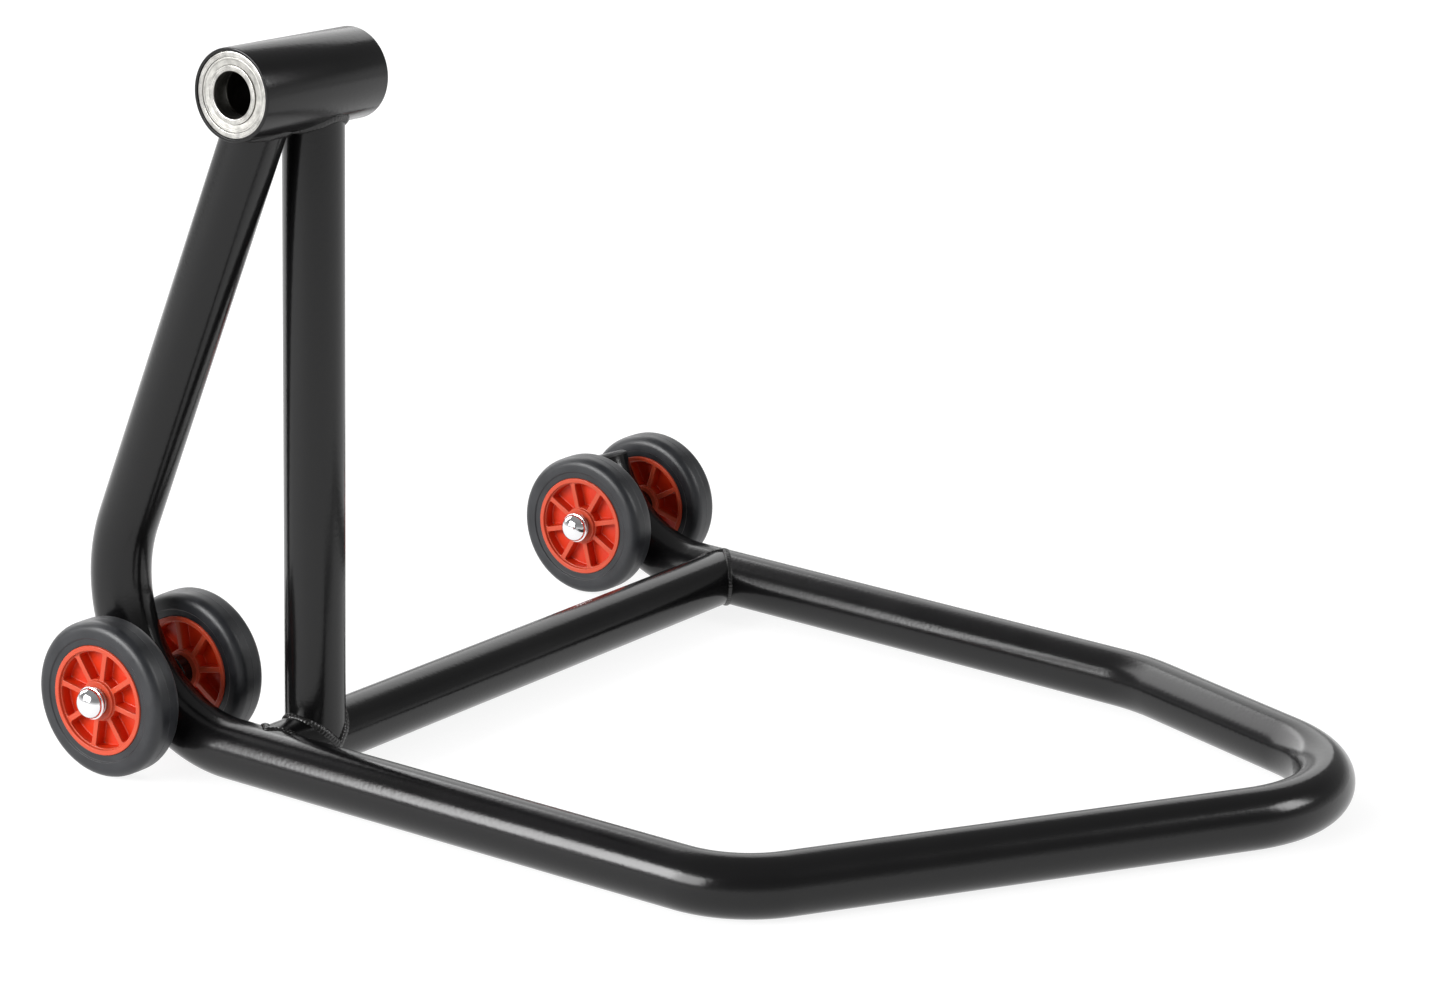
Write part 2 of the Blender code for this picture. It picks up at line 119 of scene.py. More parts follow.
# Wheels
WHEEL_RADIUS = 50 * MM
WHEEL_WIDTH = 23 * MM
HUB_RIM = 34.95 * MM  # the rim's outer radius at its edges, and at the ridge that holds the tyre
HUB_RIDGE = 37.3 * MM
RIM_INNER = 31.8 * MM
BOSS_RADIUS = 12.5 * MM
HUB_BORE = 8.1 * MM
SPOKES = 8
SPOKE_WALL = 1.75 * MM  # half a spoke's thickness
SPOKE_RECESS = 2 * MM  # how far the spokes lie below the rim's face
WEB_HALF = 2 * MM  # half the thickness of the web between the two faces' pockets
TYRE_SHOULDER = 6.2 * MM
CAP_RADIUS = 9.7 * MM
CAP_BASE = 3.8 * MM  # where the dome starts above the cap's seat, and how far it rises
CAP_RISE = 6.7 * MM
CAP_FLANGE = 10.5 * MM
CAP_NECK = 8.5 * MM
WASHER_RADIUS = 9 * MM
WASHER_HALF = 0.72 * MM
WASHER_BORE = 6.3 * MM
SLEEVE_RADIUS = 11 * MM
SLEEVE_BORE = 6.2 * MM
WHEELS = (
    ("wheel_near_outer", -1, 35),
    ("wheel_near_inner", 1, 10),
    ("wheel_far_inner", -1, 15),
    ("wheel_far_outer", 1, 28),
)  # name, the way its cap faces along Y, and how far it has rolled in degrees

# Softboxes: where each stands as seen from the stand (azimuth from +X towards +Y, elevation), how
# wide and high it looks from there, all in degrees, and how bright it is
LAMP_DISTANCE = 6.0
LAMP_AIM = 0.12  # the height that they face
LAMPS = (
    ("key", 249.5, 21, 41.5, 26, 9.5),
    ("key_core", 237.5, 22, 17.5, 24, 8),
    ("back_fill", 167, 29, 50, 38, 3.3),
    ("side", 27, 31, 18, 20, 10),
    ("behind", 124, 26, 42, 30, 1.4),
)
FLOOR_RADIUS = 4.2
FLOOR_DROP = 0.3 * MM  # how far it lies below the wheels, so that no faces coincide
POOL_CENTRE = (-0.8, 1.2, 0)  # the middle of the floor's bright part, and how far it reaches
POOL_RADIUS = 2.3
POOL_FADE = 1.8
POOL_GLOW = (0.86, 0.55)  # inside it and beyond it

# How bright the surroundings are, from straight down at 0 past the horizon at 0.5 to straight up at 1
SKY = ((0.0, 0.75), (0.525, 0.75), (0.6, 0.3), (0.75, 0.22), (1.0, 0.3))

# Camera, where the photograph was taken from
CAMERA_PLACE = AXLE + Vector((1.6241, -2.0673, 0.8360))
CAMERA_AZIMUTH = math.radians(33.469)
CAMERA_ELEVATION = math.radians(15.192)
CAMERA_ROLL = math.radians(1.393)
CAMERA_LENS = 100.4  # this one and the next in millimetres
CAMERA_SENSOR = 36

Y_AXIS = Vector((0, 1, 0))
Z_AXIS = Vector((0, 0, 1))


# --- Materials ---------------------------------------------------------------------------


def surface(name, colour, roughness, metallic=0.0, **fixed):
    """A new material and its shader, the constant sockets set on the shader itself."""
    made = bpy.data.materials.new(name)
    made.use_nodes = True
    shader = made.node_tree.nodes["Principled BSDF"]
    shader.inputs["Base Color"].default_value = (*colour, 1)
    shader.inputs["Roughness"].default_value = roughness
    shader.inputs["Metallic"].default_value = metallic
    for socket, value in fixed.items():
        shader.inputs[socket.replace("_", " ")].default_value = value
    made.diffuse_color = (*colour, 1)
    return made, made.node_tree, shader


def object_position(tree):
    return tree.nodes.new("ShaderNodeTexCoord").outputs["Object"]


def noise(tree, position, scale, detail=2.0, rough=0.5):
    """Noise between 0 and 1, with the given number of waves to a metre."""
    made = tree.nodes.new("ShaderNodeTexNoise")
    made.inputs["Scale"].default_value = scale
    made.inputs["Detail"].default_value = detail
    made.inputs["Roughness"].default_value = rough
    tree.links.new(position, made.inputs["Vector"])
    return made.outputs["Fac"]


def stretched(tree, position, scale):
    """The position scaled by its own amount on each axis."""
    made = tree.nodes.new("ShaderNodeMapping")
    made.inputs["Scale"].default_value = scale
    tree.links.new(position, made.inputs["Vector"])
    return made.outputs["Vector"]


def radius_only(tree, position):
    """The distance from the piece's own Z axis, as a position along X."""
    flat = tree.nodes.new("ShaderNodeVectorMath")
    flat.operation = "MULTIPLY"
    flat.inputs[1].default_value = (1, 1, 0)
    tree.links.new(position, flat.inputs[0])
    length = tree.nodes.new("ShaderNodeVectorMath")
    length.operation = "LENGTH"
    tree.links.new(flat.outputs["Vector"], length.inputs[0])
    along = tree.nodes.new("ShaderNodeCombineXYZ")
    tree.links.new(length.outputs["Value"], along.inputs["X"])
    return along.outputs["Vector"]


def ranged(tree, value, from_range, to_range=(0, 1)):
    """The value moved from one range to another, and held inside it."""
    made = tree.nodes.new("ShaderNodeMapRange")
    ends = ("From Min", "From Max", "To Min", "To Max")
    for socket, end in zip(ends, (*from_range, *to_range)):
        made.inputs[socket].default_value = end
    tree.links.new(value, made.inputs["Value"])
    return made.outputs["Result"]


def calculated(tree, operation, first, second):
    made = tree.nodes.new("ShaderNodeMath")
    made.operation = operation
    for socket, value in zip(made.inputs, (first, second)):
        if isinstance(value, (int, float)):
            socket.default_value = value
        else:
            tree.links.new(value, socket)
    return made.outputs["Value"]


def blended(tree, factor, first, second):
    """A colour between two, by the factor."""
    made = tree.nodes.new("ShaderNodeMix")
    made.data_type = "RGBA"
    tree.links.new(factor, made.inputs["Factor"])
    colours = [socket for socket in made.inputs if socket.type == "RGBA"]
    for socket, colour in zip(colours, (first, second)):
        if isinstance(colour, tuple):
            socket.default_value = (*colour, 1)
        else:
            tree.links.new(colour, socket)
    return next(socket for socket in made.outputs if socket.type == "RGBA")


def bumped(tree, height, depth, under=None):
    """A normal bumped by the height, whose full range is the depth in metres."""
    made = tree.nodes.new("ShaderNodeBump")
    made.inputs["Distance"].default_value = depth
    tree.links.new(height, made.inputs["Height"])
    if under:
        tree.links.new(under, made.inputs["Normal"])
    return made.outputs["Normal"]


def connect(tree, shader, colour=None, roughness=None, normal=None):
    """Links whichever of the three are given to the shader."""
    for name, value in (("Base Color", colour), ("Roughness", roughness), ("Normal", normal)):
        if value:
            tree.links.new(value, shader.inputs[name])


def powder_coat():
    """Satin black powder coat: orange peel, a fine grit, and faint cloudy handling marks."""
    made, tree, shader = surface("black_powder_coat_fine", (0.003, 0.003, 0.0033), 0.22)
    shader.inputs["Specular IOR Level"].default_value = 0.38
    place = object_position(tree)
    clouds = noise(tree, place, scale=14, detail=4, rough=0.6)
    peel = noise(tree, place, scale=420, detail=1, rough=0.4)
    grit = noise(tree, place, scale=2400, detail=2, rough=0.6)
    colour = blended(tree, clouds, (0.0022, 0.0022, 0.0024), (0.0042, 0.0041, 0.0044))
    sheen = calculated(tree, "ADD", clouds, calculated(tree, "MULTIPLY", grit, 0.5))
    roughness = ranged(tree, sheen, (0.45, 1.05), (0.15, 0.23))
    normal = bumped(tree, grit, 0.008 * MM, bumped(tree, peel, 0.05 * MM))
    connect(tree, shader, colour, roughness, normal)
    return made


def weld_coat():
    """The same coat over weld metal, where it pools: glossier, and lumpy with scale and spatter."""
    made, tree, shader = surface("black_coat_on_weld_fine", (0.004, 0.004, 0.0044), 0.16)
    place = object_position(tree)
    lumps = noise(tree, place, scale=700, detail=3, rough=0.65)
    grit = noise(tree, place, scale=2600, detail=2, rough=0.6)
    roughness = ranged(tree, lumps, (0.3, 0.7), (0.09, 0.24))
    colour = blended(tree, lumps, (0.003, 0.003, 0.0033), (0.0085, 0.008, 0.0078))
    normal = bumped(tree, grit, 0.02 * MM, bumped(tree, lumps, 0.3 * MM))
    connect(tree, shader, colour, roughness, normal)
    return made


def tyre_rubber():
    """Charcoal rubber, a little dusty, with a fine moulded skin and faint rings round the wheel."""
    made, tree, shader = surface("tyre_rubber_fine", (0.012, 0.013, 0.016), 0.42, Sheen_Weight=0.04)
    place = object_position(tree)
    dust = noise(tree, place, scale=60, detail=5, rough=0.65)
    skin = noise(tree, place, scale=1500, detail=3, rough=0.6)
    rings = noise(tree, radius_only(tree, place), scale=900, detail=1)
    dusty = ranged(tree, dust, (0.35, 0.7))
    colour = blended(tree, dusty, (0.005, 0.0057, 0.0078), (0.0125, 0.0137, 0.0168))
    roughness = ranged(tree, dust, (0.3, 0.7), (0.34, 0.5))
    normal = bumped(tree, skin, 0.02 * MM, bumped(tree, rings, 0.03 * MM))
    connect(tree, shader, colour, roughness, normal)
    return made


def red_plastic():
    """Orange-red moulded plastic marked by its flow, with painted shade: a darker red low in the pockets
    and a paler red on the faces.
    """
    made, tree, shader = surface("red_plastic_fine", (0.7, 0.03, 0.008), 0.36, Subsurface_Weight=0.06)
    shader.inputs["Specular IOR Level"].default_value = 0.35
    shader.inputs["Subsurface Radius"].default_value = (0.002, 0.0006, 0.0003)
    shader.inputs["Subsurface Scale"].default_value = 1.0
    place = object_position(tree)
    flow = noise(tree, place, scale=45, detail=4, rough=0.55)
    grain = noise(tree, place, scale=1300, detail=2, rough=0.5)
    parts = tree.nodes.new("ShaderNodeSeparateXYZ")
    tree.links.new(place, parts.inputs["Vector"])
    height = calculated(tree, "ABSOLUTE", parts.outputs["Z"], 0)
    # Painted shade: by height from the web, the red runs from a darker pocket red up to a paler red on
    # the rim face and the spokes' tops.
    lit_face_share = ranged(tree, height, (6.5 * MM, 9.3 * MM))
    deep = blended(tree, flow, (0.51, 0.021, 0.0025), (0.57, 0.031, 0.004))
    lit_face_red = blended(tree, flow, (0.44, 0.050, 0.019), (0.51, 0.065, 0.028))
    colour = blended(tree, lit_face_share, deep, lit_face_red)
    roughness = ranged(tree, flow, (0.3, 0.7), (0.28, 0.42))
    connect(tree, shader, colour, roughness, bumped(tree, grain, 0.012 * MM))
    return made


def turned_metal(name, colour, roughness, ring_scale, ring_depth, spread):
    """Metal with the rings that turning or grinding leaves round the piece's axis."""
    made, tree, shader = surface(name, colour, roughness, 1.0)
    place = object_position(tree)
    rings = noise(tree, radius_only(tree, place), ring_scale, detail=2, rough=0.6)
    stains = noise(tree, place, scale=160, detail=4, rough=0.6)
    darker = tuple(0.6 * part for part in colour)
    shade = blended(tree, ranged(tree, stains, (0.35, 0.65)), darker, colour)
    level = ranged(tree, rings, (0.3, 0.7), (roughness - spread, roughness + spread))
    connect(tree, shader, shade, level, bumped(tree, rings, ring_depth))
    return made


def zinc_plate():
    """Bright zinc over turned steel, with the clouding of its passivation."""
    made, tree, shader = surface("zinc_plate_fine", (0.66, 0.67, 0.68), 0.3, 1.0)
    place = object_position(tree)
    clouds = noise(tree, place, scale=220, detail=3, rough=0.6)
    rings = noise(tree, radius_only(tree, place), scale=2600, detail=2)
    shade = blended(tree, clouds, (0.55, 0.56, 0.57), (0.74, 0.74, 0.73))
    level = ranged(tree, clouds, (0.3, 0.7), (0.22, 0.4))
    connect(tree, shader, shade, level, bumped(tree, rings, 0.006 * MM))
    return made


def chrome():
    """Polished chrome with hairline scratches and a trace of haze."""
    made, tree, shader = surface("chrome_cap_fine", (0.86, 0.86, 0.87), 0.09, 1.0)
    place = object_position(tree)
    scratches = noise(tree, stretched(tree, place, (300, 5200, 900)), scale=1, detail=2)
    haze = noise(tree, place, scale=180, detail=3)
    level = ranged(tree, haze, (0.3, 0.75), (0.06, 0.15))
    connect(tree, shader, None, level, bumped(tree, scratches, 0.0012 * MM))
    return made


def moulded(name, dark, light, roughness):
    """Plain moulded plastic: a cloudy colour, a range of roughness, and a fine grain."""
    made, tree, shader = surface(name, light, roughness[1])
    place = object_position(tree)
    clouds = noise(tree, place, scale=90, detail=3, rough=0.6)
    grain = noise(tree, place, scale=1700, detail=2)
    colour = blended(tree, clouds, dark, light)
    level = ranged(tree, clouds, (0.3, 0.7), roughness)
    connect(tree, shader, colour, level, bumped(tree, grain, 0.02 * MM))
    return made


COAT = powder_coat()
WELD_COAT = weld_coat()
RUBBER = tyre_rubber()
RED = red_plastic()
CHROME = chrome()
ZINC = zinc_plate()
RACE_STEEL = turned_metal("bearing_steel_fine", (0.60, 0.59, 0.56), 0.28, 2200, 0.012 * MM, 0.09)
SHIELD_STEEL = turned_metal("bearing_shield_fine", (0.55, 0.54, 0.51), 0.36, 1200, 0.01 * MM, 0.08)
# Nearly black steel for the race spacer, which keeps the head's bore dark.
DARK_SPACER_STEEL = turned_metal("dark_spacer_steel_fine", (0.055, 0.05, 0.045), 0.42, 1500, 0.01 * MM, 0.08)
BLACK_PLASTIC = moulded("black_plastic_fine", (0.012, 0.012, 0.013), (0.02, 0.02, 0.021), (0.4, 0.55))
NYLON = moulded("white_nylon_fine", (0.62, 0.6, 0.55), (0.74, 0.72, 0.68), (0.35, 0.5))


# --- Shapes ------------------------------------------------------------------------------


def rounded_corner(before, corner, after, radius, count=0):
    """The arc that rounds a corner, in the given number of steps or in the frame's bend steps."""
    back = (before - corner).normalized()
    ahead = (after - corner).normalized()
    half = back.angle(ahead) / 2
    centre = corner + (back + ahead).normalized() * radius / math.sin(half)
    arm = corner + back * radius / math.tan(half) - centre
    turn = math.pi - 2 * half
    steps = count or math.ceil(turn / BEND_STEP)
    return [
        centre + arm * math.cos(turn * i / steps) - back * radius * math.sin(turn * i / steps)
        for i in range(steps + 1)
    ]


def filleted(corners, count=4):
    """A closed outline of (x, y) points from (x, y, fillet radius) corners."""
    places = [Vector((x, y, 0)) for x, y, _ in corners]
    outline = []
    for i, (x, y, radius) in enumerate(corners):
        if radius:
            after = places[(i + 1) % len(places)]
            arc = rounded_corner(places[i - 1], places[i], after, radius, count)
            outline += [(point.x, point.y) for point in arc]
        else:
            outline.append((x, y))
    return outline


def smooth_mesh(name, points, faces, sharp=35):
    """A mesh shaded smooth, but for the edges that turn more than the sharp angle in degrees."""
    mesh = bpy.data.meshes.new(name)
    mesh.from_pydata([tuple(point) for point in points], [], faces)
    mesh.update()
    mesh.shade_smooth()
    mesh.set_sharp_from_angle(angle=math.radians(sharp))
    return mesh


def turned(name, outline, steps=96):
    """A closed (radius, height) outline turned round Z. Its points run down the outer side first."""
    points = []
    rings = []
    for radius, height in outline:
        if radius == 0:
            rings.append([len(points)] * steps)
            points.append((0, 0, height))
            continue
        rings.append(list(range(len(points), len(points) + steps)))
        for j in range(steps):
            angle = 2 * math.pi * j / steps
            points.append((radius * math.cos(angle), radius * math.sin(angle), height))
    faces = []
    for upper, lower in zip(rings, rings[1:] + rings[:1]):
        for j in range(steps):
            k = (j + 1) % steps
            corners = list(dict.fromkeys((upper[j], lower[j], lower[k], upper[k])))
            if len(corners) > 2:
                faces.append(corners)
    return smooth_mesh(name, points, faces)


def to_cylinder(point, direction, cylinder):
    """Where a line first meets a cylinder, or comes closest to its axis."""
    origin, axis, radius = cylinder
    offset = point - origin
    offset -= axis * offset.dot(axis)
    across = direction - axis * direction.dot(axis)
    a = across.dot(across)
    b = offset.dot(across)
    c = offset.dot(offset) - radius * radius
    reach = (-b - math.sqrt(max(0.0, b * b - a * c))) / a
    return point + direction * reach


def frames_along(path):
    """(place, tangent, side) along an open path, the side carried on without twisting."""
    tangents = []
    for i in range(len(path)):
        before = path[max(i - 1, 0)]
        after = path[min(i + 1, len(path) - 1)]
        tangents.append((after - before).normalized())
    side = tangents[0].orthogonal().normalized()
    framed = []
    for i, place in enumerate(path):
        if i:
            side = tangents[i - 1].rotation_difference(tangents[i]) @ side
        framed.append((place, tangents[i], side))
    return framed


def round_points(place, tangent, side, radius):
    """A ring of points round a path."""
    other = tangent.cross(side)
    angles = [2 * math.pi * j / TUBE_SIDES for j in range(TUBE_SIDES)]
    return [place + (side * math.cos(a) + other * math.sin(a)) * radius for a in angles]


def capped_end(frame_there, direction, cylinder):
    """The rings that close a tube's end: flat, or laid on the cylinder that it meets."""
    place, tangent, side = frame_there
    rings = []
    for share in (1.0, 0.75, 0.5, 0.25, 0.02):
        ring = round_points(place, tangent, side, TUBE_RADIUS * share)
        if cylinder:
            ring = [to_cylinder(point, direction, cylinder) for point in ring]
        rings.append(ring)
    return rings


def pipe(name, path, start=None, end=None):
    """A round tube along the path, each end flat or shaped to the cylinder that it meets."""
    framed = frames_along(path)
    first = capped_end(framed[0], -framed[0][1], start)
    last = capped_end(framed[-1], framed[-1][1], end)
    rings = first[::-1] + [round_points(*there, TUBE_RADIUS) for there in framed[1:-1]] + last
    points = [point for ring in rings for point in ring]
    faces = []
    for i in range(len(rings) - 1):
        for j in range(TUBE_SIDES):
            k = (j + 1) % TUBE_SIDES
            low = i * TUBE_SIDES
            high = low + TUBE_SIDES
            faces.append((low + j, low + k, high + k, high + j))
    faces.append(list(range(TUBE_SIDES))[::-1])
    faces.append(list(range(len(points) - TUBE_SIDES, len(points))))
    return smooth_mesh(name, points, faces)


def resampled(points, normals, spacing):
    """A closed curve's points and normals at even steps, smoothed a little."""
    count = len(points)
    lengths = [(points[(i + 1) % count] - points[i]).length for i in range(count)]
    total = sum(lengths)
    wanted = round(total / spacing)
    found = []
    i = 0
    passed = 0.0
    for n in range(wanted):
        target = total * n / wanted
        while passed + lengths[i] < target:
            passed += lengths[i]
            i += 1
        share = (target - passed) / lengths[i]
        after = (i + 1) % count
        found.append(
            (points[i].lerp(points[after], share), normals[i].lerp(normals[after], share).normalized())
        )
    for _ in range(6):
        found = [
            (
                (found[n - 1][0] + found[n][0] * 2 + found[(n + 1) % wanted][0]) / 4,
                (found[n - 1][1] + found[n][1] * 2 + found[(n + 1) % wanted][1]).normalized(),
            )
            for n in range(wanted)
        ]
    return found, total


def weld_bead(name, points, normals, radius, seed):
    """A rippled bead along a closed curve, each ripple bowed like the edge of a coin."""
    sides = 14
    spots, total = resampled(points, normals, WELD_STEP)
    count = len(spots)
    ripples = round(total / RIPPLE_PITCH)
    vertices = []
    for n, (place, normal) in enumerate(spots):
        tangent = (spots[(n + 1) % count][0] - spots[n - 1][0]).normalized()
        outward = (normal - tangent * normal.dot(tangent)).normalized()
        across = tangent.cross(outward)
        turn = 2 * math.pi * n / count
        # The bead swells and thins a little along its length
        wander = 1 + 0.07 * math.sin(5 * turn + seed) + 0.05 * math.sin(11 * turn + 2.3 * seed)
        for j in range(sides):
            angle = 2 * math.pi * j / sides
            phase = ripples * n / count - RIPPLE_BOW * (1 - math.cos(angle))
            crest = 1 - abs(2 * (phase % 1) - 1) ** 2.2
            size = radius * wander * (1 - RIPPLE_DEPTH + RIPPLE_DEPTH * crest)
            arm = outward * (WELD_HEIGHT * math.cos(angle)) + across * (WELD_SPREAD * math.sin(angle))
            vertex = place + arm * size
            vertex.z = max(vertex.z, DRESSED_HEIGHT)
            vertices.append(vertex)
    faces = []
    for n in range(count):
        ahead = (n + 1) % count
        for j in range(sides):
            k = (j + 1) % sides
            corners = (n * sides + j, n * sides + k, ahead * sides + k, ahead * sides + j)
            faces.append(corners[::-1])
    return smooth_mesh(name, vertices, faces, sharp=60)


def joint_curve(base, direction, branch_radius, cylinder):
    """The closed curve where a tube running along direction meets a cylinder, with its normals."""
    origin, axis, _ = cylinder
    side = direction.orthogonal().normalized()
    other = direction.cross(side)
    points = []
    normals = []
    steps = 180
    far_back = 0.2  # well short of the cylinder
    for i in range(steps):
        angle = 2 * math.pi * i / steps
        arm = side * math.cos(angle) + other * math.sin(angle)
        start = base - direction * far_back + arm * branch_radius
        place = to_cylinder(start, direction, cylinder)
        offset = place - origin
        host_normal = (offset - axis * offset.dot(axis)).normalized()
        points.append(place)
        normals.append((host_normal + arm).normalized())
    return points, normals


# --- Pieces ------------------------------------------------------------------------------


def add(name, mesh, material, body, slot, *replaced):
    """A piece that rides on a body and stands for the CAD nodes it replaces."""
    mesh.materials.clear()
    mesh.materials.append(material)
    made = bpy.data.objects.new(name, mesh)
    bpy.context.scene.collection.objects.link(made)
    return made, (body, slot, replaced)


def settle(piece):
    """Fixes a placed piece to its body."""
    made, (body, slot, replaced) = piece
    bpy.context.view_layer.update()
    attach(made, body)
    if replaced:
        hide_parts(*replaced)
    return made


def place(piece, at, along=Z_AXIS):
    """Stands a piece at a point, its own Z axis along the direction, and fixes it to its body."""
    made = piece[0]
    turn = Vector(along).to_track_quat("Z", "Y").to_matrix().to_4x4()
    made.matrix_world = Matrix.Translation(at) @ turn
    return settle(piece)


def rail_height(x):
    """The height of both rails' middle lines at x."""
    return PUSH_NEAR.z + RAIL_RISE * (PUSH_NEAR.x - x)


def knee_corner():
    """Where the middle lines of the strut and the near rail would meet."""
    x = HEAD.x - (HEAD.z - rail_height(AXLE.x)) * math.tan(STRUT_LEAN)
    return Vector((x, -HALF_TRACK, rail_height(x)))


def stub_corner():
    """Where the middle lines of the stub and the far rail would meet: both rails end at the same x."""
    x = knee_corner().x + KNEE_TANGENT - KNEE_RADIUS * math.tan(STUB_TURN / 2)
    return Vector((x, HALF_TRACK, rail_height(x)))


def stub_end():
    """Where the stub ends, and which way it points there."""
    corner = stub_corner()
    back = (corner - RAIL_KINK).normalized()
    direction = back * math.cos(STUB_TURN) + Z_AXIS * math.sin(STUB_TURN)
    return corner + direction * (KNEE_RADIUS * math.tan(STUB_TURN / 2) + STUB_STRAIGHT), direction


def on_rail(corner, toward, x):
    """Where the line between two points passes x."""
    return corner + (toward - corner) * (x - corner.x) / (toward.x - corner.x)


STRUT = Vector((math.sin(STRUT_LEAN), 0, math.cos(STRUT_LEAN)))
CROSS_NEAR = on_rail(PUSH_NEAR, knee_corner(), HEAD.x)
CROSS_FAR = on_rail(RAIL_KINK, stub_corner(), HEAD.x)
CROSS_AXIS = (CROSS_FAR - CROSS_NEAR).normalized()
POST_FOOT = CROSS_NEAR.lerp(CROSS_FAR, (POST_Y - CROSS_NEAR.y) / (CROSS_FAR.y - CROSS_NEAR.y))
POST_TOP = Vector((HEAD.x, POST_Y, HEAD.z))
STRUT_TOP = Vector((HEAD.x, -HALF_TRACK, HEAD.z))

# The cylinders that other tubes are cut to, each as (a point on its axis, the axis, its radius)
HEAD_CYLINDER = (HEAD, Y_AXIS, HEAD_RADIUS)
NEAR_RAIL = (CROSS_NEAR, (knee_corner() - PUSH_NEAR).normalized(), TUBE_RADIUS)
FAR_RAIL = (CROSS_FAR, (stub_corner() - RAIL_KINK).normalized(), TUBE_RADIUS)
CROSS_TUBE = (CROSS_NEAR, CROSS_AXIS, TUBE_RADIUS)


def sunk(cylinder, depth=0.6 * MM):
    """The same cylinder a little thinner, so that a tube laid on it ends under its surface."""
    origin, axis, radius = cylinder
    return origin, axis, radius - depth


def frame_tubes():
    """The bent tube, the cross tube and the upright post."""
    end, _ = stub_end()
    corners = [STRUT_TOP, knee_corner(), PUSH_NEAR, PUSH_FAR, RAIL_KINK, stub_corner(), end]
    path = [STRUT_TOP - STRUT * TUBE_END_RUN]
    for before, corner, after, radius in zip(corners, corners[1:], corners[2:], BENDS):
        path += rounded_corner(before, corner, after, radius)
    path.append(end)
    cross = [CROSS_NEAR + CROSS_AXIS * TUBE_END_RUN, CROSS_FAR - CROSS_AXIS * TUBE_END_RUN]
    post = [POST_FOOT + Z_AXIS * TUBE_END_RUN, POST_TOP - Z_AXIS * TUBE_END_RUN]
    tubes = (
        ("bent_tube", path, sunk(HEAD_CYLINDER), None, "main_tube"),
        ("cross_pipe", cross, sunk(NEAR_RAIL), sunk(FAR_RAIL), "cross_tube"),
        ("post_pipe", post, sunk(CROSS_TUBE), sunk(HEAD_CYLINDER), "upright_post"),
    )
    for name, run, start, finish, node in tubes:
        settle(add(name, pipe(name, run, start, finish), COAT, "frame", "black_powder_coat", node))


def frame_welds():
    """The beads where the frame's tubes and the head meet."""
    joints = (
        ("strut_weld", STRUT_TOP, STRUT, HEAD_CYLINDER, HEAD_WELD),
        ("post_top_weld", POST_TOP, Z_AXIS, HEAD_CYLINDER, HEAD_WELD),
        ("post_foot_weld", POST_FOOT, -Z_AXIS, CROSS_TUBE, POST_FOOT_WELD),
        ("near_cross_weld", CROSS_NEAR, -CROSS_AXIS, NEAR_RAIL, NEAR_CROSS_WELD),
        ("far_cross_weld", CROSS_FAR, CROSS_AXIS, FAR_RAIL, FAR_CROSS_WELD),
    )
    for seed, (name, base, direction, cylinder, size) in enumerate(joints):
        points, normals = joint_curve(base, direction, TUBE_RADIUS, cylinder)
        mesh = weld_bead(name, points, normals, size, 1.0 + seed)
        settle(add(name, mesh, WELD_COAT, "frame", "black_powder_coat"))


def sleeve_weld(name, side, outward, bend_centre, seed):
    """The bead where an axle sleeve leaves the bent tube, on one face of it."""
    points = []
    normals = []
    steps = 120
    for i in range(steps):
        angle = 2 * math.pi * i / steps
        arm = Vector((math.cos(angle), 0, math.sin(angle)))
        spot = AXLE + Vector((0, side * HALF_TRACK, WHEEL_RADIUS)) + arm * SLEEVE_RADIUS
        reach = Vector((spot.x - bend_centre.x, 0, spot.z - bend_centre.z)).length - KNEE_RADIUS
        lift = math.sqrt(max(0.0, TUBE_RADIUS**2 - reach**2))
        points.append(spot + Vector((0, outward * lift, 0)))
        normals.append((Vector((0, outward, 0)) + arm).normalized())
    mesh = weld_bead(name, points, normals, SLEEVE_WELD, seed)
    settle(add(name, mesh, WELD_COAT, "frame", "black_powder_coat"))


def axle_sleeves():
    """The tubes that hold the axles, welded through the bends between the wheels."""
    bend_centre = knee_corner() + Vector((KNEE_TANGENT, 0, KNEE_RADIUS))
    for label, side in (("near", -1), ("far", 1)):
        low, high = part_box(f"{label}_axle_sleeve")
        half = (high[1] - low[1]) / 2
        centre = AXLE + Vector((0, side * HALF_TRACK, WHEEL_RADIUS))
        outline = filleted(
            [
                (SLEEVE_RADIUS, half, 0.5 * MM),
                (SLEEVE_RADIUS, -half, 0.5 * MM),
                (SLEEVE_BORE, -half, 0),
                (SLEEVE_BORE, half, 0),
            ]
        )
        name = f"{label}_sleeve_tube"
        mesh = turned(name, outline, steps=64)
        piece = add(name, mesh, COAT, "frame", "black_powder_coat", f"{label}_axle_sleeve")
        place(piece, centre, Y_AXIS)
        for face, outward in (("outer", side), ("inner", -side)):
            seed = 2.0 * side + outward
            sleeve_weld(f"{label}_sleeve_{face}_weld", side, outward, bend_centre, seed)


def stub_plug():
    """The plug in the stub's open end: a domed lid with a step, and a shank inside the tube."""
    end, direction = stub_end()
    outline = filleted(
        [
            (0, 3.4 * MM, 0),
            (16.5 * MM, 3.2 * MM, 0.6 * MM),
            (18.9 * MM, 1.6 * MM, 0.9 * MM),
            (18.9 * MM, 0.1 * MM, 0.2 * MM),
            (15 * MM, 0.05 * MM, 0),
            (15 * MM, -6 * MM, 0.4 * MM),
            (0, -6 * MM, 0),
        ]
    )
    mesh = turned("stub_cap", outline, steps=64)
    place(add("stub_cap", mesh, BLACK_PLASTIC, "frame", "black_plastic", "stub_end_plug"), end, direction)


